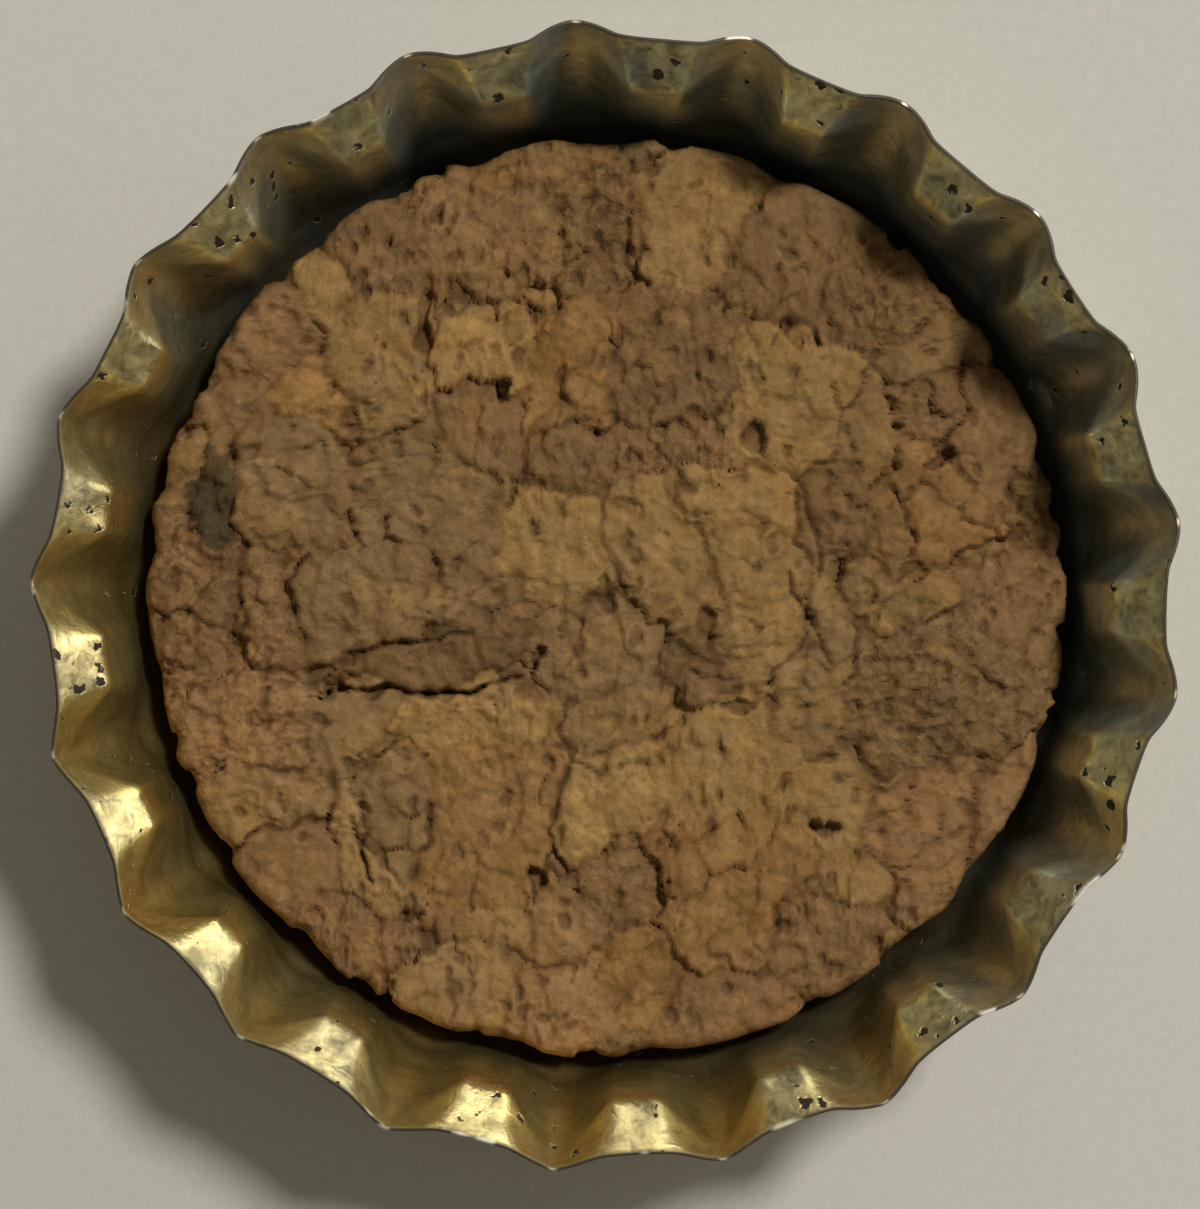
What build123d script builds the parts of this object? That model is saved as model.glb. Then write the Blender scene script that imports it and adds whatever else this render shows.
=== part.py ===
from build123d import *
import os
from math import acos, atan2, cos, degrees, hypot, pi, radians, sin, sqrt, tan

# Crown cap for a 26 mm bottle mouth, before it is crimped on: a stamped tinplate shell with
# a disc of agglomerated cork inside. The cap lies on the outer face of its flat panel, with
# its mouth up. The origin is the centre of that face, +Z points out of the mouth, and one
# ridge of the skirt points along +Y.

# ---- driving dimensions, millimetres and degrees ----
crown_diameter = 32.1        # over the ridge tips at the rim
ridge_rim_height = 6.25      # from the outer face of the panel to the rim at a ridge
sheet = 0.28                 # thickness of the tinplate
flute_count = 21

shoulder_radius = 1.8        # outside radius between the panel and the skirt
ridge_slope = 24.0           # lean of the ridges, from vertical
valley_slope = 8.0           # lean of the valleys below the lip, from vertical
lip_start_height = 5.15      # where the valleys begin to turn outwards
lip_radius = 1.0             # outside radius of that turn
lip_slope = 46.0             # lean of the lip above it, from vertical
rim_slope = 30.0             # rise of the cut edge towards the axis
ridge_share = 0.27           # part of each flute that is ridge, on the outside of the sheet
ridge_share_inside = 0.2     # the same on the inside, so the flanks are as thick as the rest

cork_thickness = 2.5
cork_clearance = 0.27        # between the side of the disc and the upright part of the wall
cork_edge_round = 0.35       # round on the upper edge of the disc

# ---- worked out from them ----
crown_radius = crown_diameter / 2
half_pitch = pi / flute_count                      # from a ridge to the next valley, radians
ridge_lean = radians(ridge_slope)
valley_lean = radians(valley_slope)
lip_lean = radians(lip_slope)
skirt_foot = shoulder_radius * (1 - sin(ridge_lean))
skirt_foot_radius = crown_radius - (ridge_rim_height - skirt_foot) * tan(ridge_lean)
panel_radius = skirt_foot_radius - shoulder_radius * cos(ridge_lean)
cork_foot_round = shoulder_radius - sheet - cork_clearance
cork_radius = panel_radius + cork_foot_round
rim_rise = tan(radians(rim_slope))
untrimmed_height = ridge_rim_height + 0.55
lip_sections = 5                                   # sections that the lip is lofted through


def wall_radius(height, inset, lean):
    """Radius at a height of a wall that leaves the shoulder at its lean and goes on straight."""
    turn = shoulder_radius - inset
    turn_top = shoulder_radius - turn * sin(lean)
    if height < turn_top:
        return panel_radius + sqrt(turn**2 - (shoulder_radius - height) ** 2)
    return panel_radius + turn * cos(lean) + (height - turn_top) * tan(lean)


def valley_radius(height, inset):
    """Radius of a valley at a height: straight, then turning outwards, then the straight lip."""
    lip_start_radius = wall_radius(lip_start_height, 0, valley_lean)
    centre_radius = lip_start_radius + lip_radius * cos(valley_lean)
    centre_height = lip_start_height - lip_radius * sin(valley_lean)
    turn = lip_radius + inset
    rise = height - centre_height
    if rise < turn * sin(valley_lean):
        return wall_radius(height, inset, valley_lean)
    if rise < turn * sin(lip_lean):
        return centre_radius - sqrt(turn**2 - rise**2)
    return centre_radius - turn * cos(lip_lean) + (rise - turn * sin(lip_lean)) * tan(lip_lean)


def flute_joint(ridge, valley, share):
    """Radius and angle, from the ridge, at which the ridge arc meets the valley arc.

    Two arcs that are square to their own rays and tangent to each other meet on an arc from
    the ridge tip to the valley that turns by half a pitch in all.
    """
    across = valley * sin(half_pitch)
    along = valley * cos(half_pitch) - ridge
    direction = atan2(across, along) - (1 - share) * half_pitch / 2
    step = hypot(across, along) * sin(share * half_pitch / 2) / sin(half_pitch / 2)
    x = ridge + step * cos(direction)
    y = step * sin(direction)
    return hypot(x, y), atan2(y, x)


def at(radius, angle):
    """Point of a section, with the angle counted from +Y."""
    return (-radius * sin(angle), radius * cos(angle))


def flute_section(height, inset, share, apex):
    """A ridge and the valleys beside it at a height, closed by straight lines to the apex."""
    ridge = wall_radius(height, inset, ridge_lean)
    valley = valley_radius(height, inset)
    joint_radius, joint_angle = flute_joint(ridge, valley, share)
    next_joint = 2 * half_pitch - joint_angle
    with BuildSketch(Plane.XY.offset(height)) as section:
        with BuildLine():
            ThreePointArc(
                at(joint_radius, -joint_angle), at(ridge, 0), at(joint_radius, joint_angle)
            )
            for side in (-1, 1):
                near = at(joint_radius, joint_angle * side)
                far = at(joint_radius, next_joint * side)
                ThreePointArc(near, at(valley, half_pitch * side), far)
                Line(far, (0, apex))
        make_face()
    return section.sketch


valley_foot = shoulder_radius * (1 - sin(valley_lean))
wall_heights = [skirt_foot, valley_foot, lip_start_height]
lip_step = (untrimmed_height - lip_start_height) / (lip_sections - 1)
lip_heights = [lip_start_height + lip_step * step for step in range(lip_sections)]
wedge_reach = 2 * crown_radius
behind_axis = -0.2 * crown_radius
trim_reach = 1.2 * crown_radius

# ---- one flute of the skirt: a ridge with half a valley on each side of it ----
with BuildPart() as flute:
    for heights, straight in ((wall_heights, True), (lip_heights, False)):
        outside = [flute_section(height, 0, ridge_share, 0) for height in heights]
        inside = [
            flute_section(height, sheet, ridge_share_inside, behind_axis) for height in heights
        ]
        loft(outside, ruled=straight)
        loft(inside, ruled=straight, mode=Mode.SUBTRACT)
    with BuildSketch():
        Polygon(
            (0, 0),
            at(wedge_reach, half_pitch),
            at(wedge_reach, -half_pitch),
            align=None,
        )
    extrude(amount=wedge_reach, mode=Mode.INTERSECT)
    # the rim is cut along a cone, nearly square to the sheet
    with BuildSketch(Plane.XZ):
        Polygon(
            (0, ridge_rim_height + crown_radius * rim_rise),
            (trim_reach, ridge_rim_height + (crown_radius - trim_reach) * rim_rise),
            (trim_reach, ridge_rim_height + crown_radius),
            (0, ridge_rim_height + crown_radius),
            align=None,
        )
    revolve(axis=Axis.Z, mode=Mode.SUBTRACT)

# ---- crown shell: flat panel, rounded shoulder and skirt, one stamping ----
inner_turn = shoulder_radius - sheet
with BuildPart() as crown_shell:
    with BuildSketch(Plane.XZ):
        with BuildLine():
            Line((0, 0), (panel_radius, 0))
            outer_shoulder = JernArc(
                start=(panel_radius, 0),
                tangent=(1, 0),
                radius=shoulder_radius,
                arc_size=90 - ridge_slope,
            )
            inner_shoulder = JernArc(
                start=(panel_radius, sheet),
                tangent=(1, 0),
                radius=inner_turn,
                arc_size=degrees(acos((shoulder_radius - skirt_foot) / inner_turn)),
            )
            Line(outer_shoulder @ 1, inner_shoulder @ 1)
            Line((panel_radius, sheet), (0, sheet))
            Line((0, sheet), (0, 0))
        make_face()
    revolve(axis=Axis.Z)
    with PolarLocations(0, flute_count):
        add(flute.part)
crown_shell.part.label = "crown_shell"

# ---- cork liner: disc punched from pressed cork, shaped by the shoulder it is pushed into ----
with BuildPart() as cork_liner:
    with BuildSketch(Plane.XY.offset(sheet)):
        Circle(cork_radius)
    extrude(amount=cork_thickness)
    fillet(cork_liner.faces().sort_by(Axis.Z)[0].edges(), cork_foot_round)
    fillet(cork_liner.faces().sort_by(Axis.Z)[-1].edges(), cork_edge_round)
cork_liner.part.label = "cork_liner"

os.makedirs("parts", exist_ok=True)
export_step(crown_shell.part, "parts/crown_shell.step")
export_step(cork_liner.part, "parts/cork_liner.step")

cap_size = crown_shell.part.bounding_box().size
print(f"panel radius {panel_radius:.3f}, cork diameter {2 * cork_radius:.2f}")
print(f"shell {cap_size.X:.2f} x {cap_size.Y:.2f} x {cap_size.Z:.2f}")
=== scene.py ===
from math import cos, pi, radians, sin, sqrt, tan

import bpy
import numpy as np
from bpy.props import FloatProperty, FloatVectorProperty, IntProperty, PointerProperty
from mathutils import Matrix, Vector


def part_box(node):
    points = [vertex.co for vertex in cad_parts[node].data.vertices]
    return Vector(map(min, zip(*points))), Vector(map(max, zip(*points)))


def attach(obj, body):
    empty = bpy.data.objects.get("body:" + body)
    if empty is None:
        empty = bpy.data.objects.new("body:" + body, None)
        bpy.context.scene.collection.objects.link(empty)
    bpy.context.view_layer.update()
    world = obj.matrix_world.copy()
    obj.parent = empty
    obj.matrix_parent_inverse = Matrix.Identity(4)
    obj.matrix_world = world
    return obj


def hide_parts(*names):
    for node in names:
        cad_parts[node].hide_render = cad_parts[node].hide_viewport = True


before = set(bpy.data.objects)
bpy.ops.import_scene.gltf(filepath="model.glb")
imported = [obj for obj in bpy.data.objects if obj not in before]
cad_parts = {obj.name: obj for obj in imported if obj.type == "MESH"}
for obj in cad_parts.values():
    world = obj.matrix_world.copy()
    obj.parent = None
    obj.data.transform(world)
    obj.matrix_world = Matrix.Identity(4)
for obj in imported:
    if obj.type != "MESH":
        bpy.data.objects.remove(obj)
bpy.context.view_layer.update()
SHELL_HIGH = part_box("crown_shell")[1]
CORK_LOW, CORK_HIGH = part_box("cork_liner")

bl_info = {
    "name": "Cork-lined crown cap",
    "version": (1, 0, 0),
    "blender": (4, 5, 0),
    "location": "View3D > Sidebar > Crown cap",
    "description": "Builds an old crown cap of lacquered tinplate with a disc of pressed cork",
    "category": "Add Mesh",
}

MM = 0.001                      # a millimetre in metres: outlines below are in millimetres
VIEW_TURN = radians(3.1)        # the camera, and the layout of the cork, are turned by this
VIEW_SHIFT = (-0.20 * MM, -0.23 * MM)   # from the cap's axis to the middle of the view
VIEW_LEVEL = 6.25 * MM          # height at which the view width is measured


def linear_colour(code):
    """Linear RGBA of an sRGB hex value."""
    channels = [int(code[start:start + 2], 16) / 255 for start in (1, 3, 5)]
    return tuple(c / 12.92 if c <= 0.04045 else ((c + 0.055) / 1.055) ** 2.4 for c in channels) + (1,)


def add_node(tree, kind, inputs=None, **settings):
    """Adds a shader node with its settings, and sets each input or links it.

    An input is a value, a socket to link, or a node, which stands for its first output.
    """
    made = tree.nodes.new("ShaderNode" + kind)
    for name, value in settings.items():
        setattr(made, name, value)
    for name, value in (inputs or {}).items():
        if isinstance(value, bpy.types.Node):
            value = value.outputs[0]
        if isinstance(value, bpy.types.NodeSocket):
            tree.links.new(value, made.inputs[name])
        else:
            made.inputs[name].default_value = value
    return made


def per_mm(size):
    """Scale of a pattern whose features are this many millimetres apart."""
    return 1 / (size * MM)


# ---------------------------- numbers on a grid

def smooth(value):
    """Zero to one with level ends."""
    value = np.clip(value, 0, 1)
    return value * value * (3 - 2 * value)


def patchy(x, y, cell, seed):
    """Smooth noise from -1 to 1 whose patches are cell wide."""
    side = 64
    table = np.random.default_rng(seed).uniform(-1, 1, (side, side))
    u, v = x / cell + 100.37, y / cell + 100.81
    column, row = np.floor(u).astype(int), np.floor(v).astype(int)
    s, t = smooth(u - column), smooth(v - row)
    near, far = column % side, (column + 1) % side
    low, high = row % side, (row + 1) % side
    bottom = table[low, near] * (1 - s) + table[low, far] * s
    top = table[high, near] * (1 - s) + table[high, far] * s
    return bottom * (1 - t) + top * t


def rough(x, y, cell, octaves, seed):
    """Noise with finer and fainter patches added to coarse ones."""
    total = np.zeros_like(x)
    for octave in range(octaves):
        total += patchy(x, y, cell / 2**octave, seed + octave) / 2**octave
    return total


def seen_turned(x, y, angle):
    """Places as seen from axes that are turned by an angle."""
    c, s = np.cos(angle), np.sin(angle)
    return x * c + y * s, y * c - x * s


def mesh_object(name, points, faces, material):
    """Smooth-shaded mesh object from points in millimetres."""
    mesh = bpy.data.meshes.new(name)
    mesh.from_pydata((points * MM).tolist(), [], faces)
    mesh.shade_smooth()
    mesh.validate()
    mesh.materials.append(material)
    piece = bpy.data.objects.new(name, mesh)
    bpy.context.collection.objects.link(piece)
    return piece


def add_values(mesh, name, values):
    """Stores one number, one place or one colour for each point of a mesh."""
    width = values.shape[1] if values.ndim == 2 else 1
    kind, key = {1: ("FLOAT", "value"), 3: ("FLOAT_VECTOR", "vector"),
                 4: ("FLOAT_COLOR", "color")}[width]
    attribute = mesh.attributes.new(name, kind, "POINT")
    attribute.data.foreach_set(key, values.astype(np.float32).ravel())


# ---------------------------- what a user would change

COLOUR = {"size": 4, "subtype": "COLOR", "min": 0, "max": 1}
LENGTH = {"subtype": "DISTANCE", "unit": "LENGTH", "precision": 5}


class ShellSizes(bpy.types.PropertyGroup):
    """Sizes and colours of the stamped shell."""
    flutes: IntProperty(name="Flutes", description="Ridges round the skirt", default=21, min=3)
    sheet: FloatProperty(
        name="Sheet", description="Thickness of the tinplate", default=0.28 * MM, **LENGTH)
    bend: FloatProperty(
        name="Lip bend", description="Softness of the fold below the lip of each valley",
        default=0.11 * MM, **LENGTH)
    gold: FloatVectorProperty(
        name="Lacquer", description="Gold lacquer where it is still bright",
        default=linear_colour("#f2dd98"), **COLOUR)
    dull: FloatVectorProperty(
        name="Dulled lacquer", description="Lacquer that age has dulled to olive",
        default=linear_colour("#a8a07e"), **COLOUR)
    pit: FloatVectorProperty(
        name="Pits", description="Dark corroded specks",
        default=linear_colour("#251c0d"), **COLOUR)


class CorkSizes(bpy.types.PropertyGroup):
    """Sizes and colours of the pressed cork disc."""
    grid: IntProperty(name="Grid", description="Squares across the disc", default=286, min=40)
    groove: FloatProperty(
        name="Groove", description="Depth of the deepest joints between granules",
        default=0.15 * MM, **LENGTH)
    seed: IntProperty(name="Seed", description="Layout of the small granules", default=7)
    # the crack colour is dirt, and also painted shade in the joints, cracks, pits and hollows
    crack: FloatVectorProperty(
        name="Cracks", description="Dirt in the joints and cracks",
        default=linear_colour("#483117"), **COLOUR)


class StageSizes(bpy.types.PropertyGroup):
    """Floor, lights and camera."""
    floor: FloatVectorProperty(
        name="Floor", description="Colour of the paper that the cap lies on",
        default=linear_colour("#bdb9ad"), **COLOUR)
    camera_height: FloatProperty(
        name="Camera height", description="Camera above the rim", default=110 * MM, **LENGTH)
    view_width: FloatProperty(
        name="View width", description="Width of what the camera sees at the rim",
        default=33.46 * MM, **LENGTH)


# ---------------------------- materials

def new_material(name):
    """An empty material, its node tree, and the place on the piece that its patterns follow."""
    material = bpy.data.materials.new(name)
    material.use_nodes = True
    tree = material.node_tree
    tree.nodes.clear()
    return material, tree, add_node(tree, "TexCoord").outputs["Object"]


def ragged_place(tree, place, size, reach):
    """The place shifted by noise, so cells have ragged edges: its size and reach are in mm."""
    noise = add_node(tree, "TexNoise", {"Vector": place, "Scale": per_mm(size), "Detail": 3})
    shift = add_node(tree, "VectorMath", {
        0: noise.outputs["Color"], 1: (reach * MM,) * 3}, operation="MULTIPLY")
    return add_node(tree, "VectorMath", {0: place, 1: shift}, operation="ADD")


def lacquered_tinplate(sizes):
    """Gold-lacquered tinplate, stamped and aged: bright where smooth, dulled, mottled, pitted."""
    material, tree, place = new_material("lacquered_tinplate")
    # painted fill light makes one side of the cap greyer and bluer, and the lips are polished
    painted_fill_side, polished, cut, tip = (
        add_node(tree, "Attribute", attribute_name=name).outputs["Fac"]
        for name in ("painted_fill_side", "polished", "cut_edge", "worn_tip"))
    # dulled patches a couple of millimetres wide, with ragged borders
    patches = add_node(tree, "TexNoise", {"Vector": place, "Scale": per_mm(2.4), "Detail": 3,
        "Roughness": 0.5})
    dulled = add_node(tree, "MapRange", {"Value": patches, "From Min": 0.42, "From Max": 0.66})
    # painted fill light: the side turned from the key gets all of the dull lacquer, the other side
    # less
    share = add_node(tree, "MapRange", {"Value": painted_fill_side, "To Min": 0.62, "To Max": 1.0})
    dulling_and_fill_side = add_node(tree, "Math", {0: dulled, 1: share}, operation="MULTIPLY")
    # blotches of the old lacquer, under half a millimetre wide
    mottle = add_node(tree, "TexNoise", {"Vector": place, "Scale": per_mm(0.42), "Detail": 4,
        "Roughness": 0.6, "Distortion": 0.8})
    # corroded specks in some cells of a pattern, with ragged edges, crowded in places
    specks = add_node(tree, "TexVoronoi", {"Vector": ragged_place(tree, place, 0.28, 0.5),
        "Scale": per_mm(0.50), "Randomness": 1})
    chosen = add_node(tree, "SeparateColor", {"Color": specks.outputs["Color"]})
    crowding = add_node(tree, "TexNoise", {"Vector": place, "Scale": per_mm(1.7), "Detail": 1})
    # the lips, scraped by the tool, have more of them than the furrows
    chance = add_node(tree, "Math", {0: polished, 1: 0.24, 2: chosen.outputs["Red"]},
        operation="MULTIPLY_ADD")
    luck = add_node(tree, "Math", {0: crowding, 1: 0.9, 2: chance}, operation="MULTIPLY_ADD")
    speck_size = add_node(tree, "MapRange", {"Value": luck, "From Min": 1.04, "From Max": 1.62,
        "To Min": 0.0, "To Max": 0.38})
    inside_speck = add_node(tree, "Math", {0: speck_size, 1: specks}, operation="SUBTRACT")
    pits = add_node(tree, "MapRange", {"Value": inside_speck, "From Min": 0.0, "From Max": 0.08})
    lacquer = add_node(tree, "Mix", {"Factor": dulling_and_fill_side, 6: tuple(sizes.gold),
        7: tuple(sizes.dull)}, data_type="RGBA").outputs[2]
    blotches = add_node(tree, "TexNoise", {"Vector": place, "Scale": per_mm(0.95), "Detail": 3,
        "Roughness": 0.6, "Distortion": 1.0})
    blend = add_node(tree, "Math", {0: mottle, 1: blotches}, operation="ADD")
    faint = add_node(tree, "MapRange", {"Value": polished, "To Min": 0.80, "To Max": 0.42})
    mottled = add_node(tree, "MapRange", {"Value": blend, "From Min": 0.74, "From Max": 1.20,
        "To Min": faint, "To Max": 1.18})
    # the lips keep their shine; the rest is toned by height, darker towards the foot of the wall
    height = add_node(tree, "SeparateXYZ", {"Vector": place}).outputs["Z"]
    foot = add_node(tree, "MapRange", {"Value": height, "From Min": 1.8 * MM,
        "From Max": 4.6 * MM, "To Min": 1.15, "To Max": 1.68})
    furrow_height_tone = add_node(tree, "Mix", {"Factor": polished, 2: foot, 3: 1.0})
    tone = add_node(tree, "Math", {0: mottled, 1: furrow_height_tone}, operation="MULTIPLY")
    toned = add_node(tree, "VectorMath", {0: lacquer, "Scale": tone}, operation="SCALE")
    # painted fill light: the hue turns greyer and bluer on the side turned from the key
    furrow_hue = add_node(tree, "Mix", {"Factor": painted_fill_side, 6: linear_colour("#aeaa96"),
        7: linear_colour("#acc6ff")}, data_type="RGBA").outputs[2]
    lip_hue = add_node(tree, "Mix", {"Factor": painted_fill_side, 6: linear_colour("#ffffff"),
        7: linear_colour("#e3ebfc")}, data_type="RGBA").outputs[2]
    hue = add_node(tree, "Mix", {"Factor": polished, 6: furrow_hue, 7: lip_hue}, data_type="RGBA")
    lit = add_node(tree, "VectorMath", {0: toned, 1: hue.outputs[2]}, operation="MULTIPLY")
    pitted = add_node(tree, "Mix", {"Factor": pits, 6: lit, 7: tuple(sizes.pit)},
        data_type="RGBA").outputs[2]
    # the cut rim shows darkened steel, with a few bright spots that are partly bare steel and partly
    # painted glints
    painted_glint_spots = add_node(tree, "TexNoise", {"Vector": place, "Scale": per_mm(1.6), "Detail": 2})
    glint = add_node(tree, "MapRange", {"Value": painted_glint_spots, "From Min": 0.63, "From Max": 0.67})
    steel_with_painted_glints = add_node(tree, "Mix", {"Factor": glint, 6: linear_colour("#453d2e"),
        7: linear_colour("#d8d2be")}, data_type="RGBA").outputs[2]
    edged = add_node(tree, "Mix", {"Factor": cut, 6: pitted, 7: steel_with_painted_glints},
        data_type="RGBA").outputs[2]
    # handling has rubbed the tips of the ridges to bare metal
    rimmed = add_node(tree, "Mix", {"Factor": tip, 6: edged, 7: linear_colour("#efe6c4")},
        data_type="RGBA").outputs[2]
    roughness = add_node(tree, "MapRange", {"Value": patches, "From Min": 0.3, "From Max": 0.7,
        "To Min": 0.24, "To Max": 0.38})
    darkened = add_node(tree, "Math", {0: cut, 1: tip}, operation="SUBTRACT")
    bad = add_node(tree, "Math", {0: pits, 1: darkened}, operation="MAXIMUM")
    dull_part = add_node(tree, "MapRange", {"Value": polished, "To Min": 0.05, "To Max": 0.0})
    surface_part = add_node(tree, "Math", {0: roughness, 1: dull_part}, operation="ADD")
    rougher = add_node(tree, "Math", {0: bad, 1: 0.3, 2: surface_part}, operation="MULTIPLY_ADD",
        use_clamp=True)
    # grime over the dulled lacquer and in the furrows hides part of the metal
    bare = add_node(tree, "MapRange", {"Value": polished, "To Min": 0.95, "To Max": 0.97})
    shine = add_node(tree, "Math", {0: dulling_and_fill_side, 1: -0.05, 2: bare}, operation="MULTIPLY_ADD")
    metal = add_node(tree, "Math", {0: bad, 1: -0.7, 2: shine}, operation="MULTIPLY_ADD",
        use_clamp=True)
    relief = add_node(tree, "Math", {0: pits, 1: -1.2, 2: mottle}, operation="MULTIPLY_ADD")
    bump = add_node(tree, "Bump", {"Height": relief, "Strength": 0.7, "Distance": 0.035 * MM})
    surface = add_node(tree, "BsdfPrincipled", {"Base Color": rimmed, "Metallic": metal,
        "Roughness": rougher, "Normal": bump})
    add_node(tree, "OutputMaterial", {"Surface": surface})
    return material


def pressed_cork(sizes):
    """Agglomerated cork, punched and dry: matt granules, each its own brown, with dark pores."""
    material, tree, place = new_material("agglomerated_cork")
    tint, crevice_dirt_and_shade, porous, along = (
        add_node(tree, "Attribute", attribute_name=name).outputs[kind]
        for name, kind in (("granule_tint", "Color"), ("crevice_dirt_and_shade", "Fac"), ("porous", "Fac"),
                           ("grain_place", "Vector")))
    # the cell walls of the cork give a fine grain
    grain = add_node(tree, "TexNoise", {"Vector": place, "Scale": per_mm(0.24), "Detail": 4,
        "Roughness": 0.62})
    # growth bands, drawn out along one direction
    bands = add_node(tree, "TexNoise", {"Vector": along, "Scale": per_mm(0.8), "Detail": 5,
        "Roughness": 0.65, "Distortion": 0.5})
    # crumbs, about 0.6 mm wide
    cells = {"Vector": ragged_place(tree, place, 0.4, 0.7), "Scale": per_mm(0.62),
             "Randomness": 1}
    crumbs = add_node(tree, "TexVoronoi", cells)
    crumb = add_node(tree, "SeparateColor", {"Color": crumbs.outputs["Color"]})
    shade = add_node(tree, "MapRange", {"Value": grain, "From Min": 0.3, "From Max": 0.7,
        "To Min": 0.85, "To Max": 1.15})
    broad = add_node(tree, "MapRange", {"Value": bands, "From Min": 0.3, "From Max": 0.7,
        "To Min": 0.84, "To Max": 1.16})
    crumb_shade = add_node(tree, "MapRange", {"Value": crumb.outputs["Red"], "To Min": 0.93,
        "To Max": 1.07})
    two = add_node(tree, "Math", {0: shade, 1: broad}, operation="MULTIPLY")
    three = add_node(tree, "Math", {0: two, 1: crumb_shade}, operation="MULTIPLY")
    tinted = add_node(tree, "VectorMath", {0: tint, "Scale": three}, operation="SCALE")
    # pores: dark specks a fifth of a millimetre wide, many of them in crumbly granules
    pores = add_node(tree, "TexNoise", {"Vector": place, "Scale": per_mm(0.40), "Detail": 2,
        "Roughness": 0.55})
    limit = add_node(tree, "MapRange", {"Value": porous, "To Min": 0.675, "To Max": 0.56})
    over = add_node(tree, "Math", {0: pores, 1: limit}, operation="SUBTRACT")
    speckled = add_node(tree, "MapRange", {"Value": over, "From Min": 0.0, "From Max": 0.10,
        "To Max": 0.50})
    outline = add_node(tree, "TexVoronoi", cells, feature="DISTANCE_TO_EDGE")
    rim = add_node(tree, "MapRange", {"Value": outline, "From Min": 0.0, "From Max": 0.12,
        "To Min": 1.0, "To Max": 0.0})
    rim_part = add_node(tree, "MapRange", {"Value": porous, "To Min": 0.0, "To Max": 0.34})
    outlined = add_node(tree, "Math", {0: rim, 1: rim_part}, operation="MULTIPLY")
    dark = add_node(tree, "Math", {0: speckled, 1: outlined}, operation="MAXIMUM")
    # dirt and painted shade: pores, crumb outlines and the crevice mask mix in the crack colour
    dirt_and_shade = add_node(tree, "Math", {0: dark, 1: crevice_dirt_and_shade}, operation="MAXIMUM")
    dirty_and_shaded = add_node(tree, "Mix", {"Factor": dirt_and_shade, 6: tinted, 7: tuple(sizes.crack)},
        data_type="RGBA").outputs[2]
    mixed = add_node(tree, "Math", {0: bands, 1: 0.4, 2: grain}, operation="MULTIPLY_ADD")
    relief = add_node(tree, "Math", {0: dark, 1: -0.6, 2: mixed}, operation="MULTIPLY_ADD")
    bump = add_node(tree, "Bump", {"Height": relief, "Strength": 0.8, "Distance": 0.08 * MM})
    surface = add_node(tree, "BsdfPrincipled", {"Base Color": dirty_and_shaded, "Roughness": 0.85,
        "IOR": 1.4, "Specular IOR Level": 0.3, "Normal": bump})
    add_node(tree, "OutputMaterial", {"Surface": surface})
    return material


def pale_paper(sizes):
    """Plain uncoated paper: matt and pale, with a grain too fine to see as more than dust."""
    material, tree, place = new_material("pale_paper")
    fibres = add_node(tree, "TexNoise", {"Vector": place, "Scale": per_mm(0.25), "Detail": 2})
    shade = add_node(tree, "MapRange", {"Value": fibres, "From Min": 0.3, "From Max": 0.7,
        "To Min": 0.97, "To Max": 1.03})
    tone = add_node(tree, "VectorMath", {0: tuple(sizes.floor)[:3], "Scale": shade},
        operation="SCALE")
    surface = add_node(tree, "BsdfPrincipled", {"Base Color": tone, "Roughness": 0.95,
        "Specular IOR Level": 0.1})
    add_node(tree, "OutputMaterial", {"Surface": surface})
    return material


# ---------------------------- the shell

PANEL_RADIUS = 12.1             # flat panel inside the shoulder
SHOULDER_TURN = 1.52            # inside radius of the shoulder
WALL_LEAN = radians(8.0)        # lean of the valleys below the lip, from vertical
RIDGE_LEAN = radians(24.0)
LIP_LEAN = radians(45.5)
RIM_RISE = tan(radians(30.0))   # the rim is cut along a cone that rises towards the axis
VALLEY_RIM = (15.47, 6.67)      # radius and height of the inside of the rim in a valley
RIDGE_RIM = (16.02, 6.33)       # and in a ridge
FLARE_START, FLARE_RUN = 4.9, 1.0   # where the flutes change from their low to their high form
LIP_START = 5.35                # height at which the lip of a valley begins
LOW_SPREAD, HIGH_SPREAD = 0.76, 0.70    # half width of a ridge, as a share of half a flute
RIM_SPREAD, RIM_FALL = 0.46, 0.28   # at the rim a ridge has fallen by this at that half width
CORNER_DEPTH, CURL = 0.24, 0.13     # how far the inner and the outer corners of a lip turn
THIN_RUN, THIN_SHARE = 0.7, 0.34    # the shears thinned the sheet over this run to this share
MEAN_RADIUS = 14                # of the wall, for patterns that run round it
WALL_ROWS, FLUTE_COLUMNS = 50, 36   # points up the wall and across a flute
TIP_WIDTH = 0.05                # half width of the worn tips, as a share of half a flute


def blend_up(first, second, softness):
    """The larger of two values, with the corner between them softened."""
    return (first + second + np.sqrt((first - second) ** 2 + softness**2)) / 2


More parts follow.
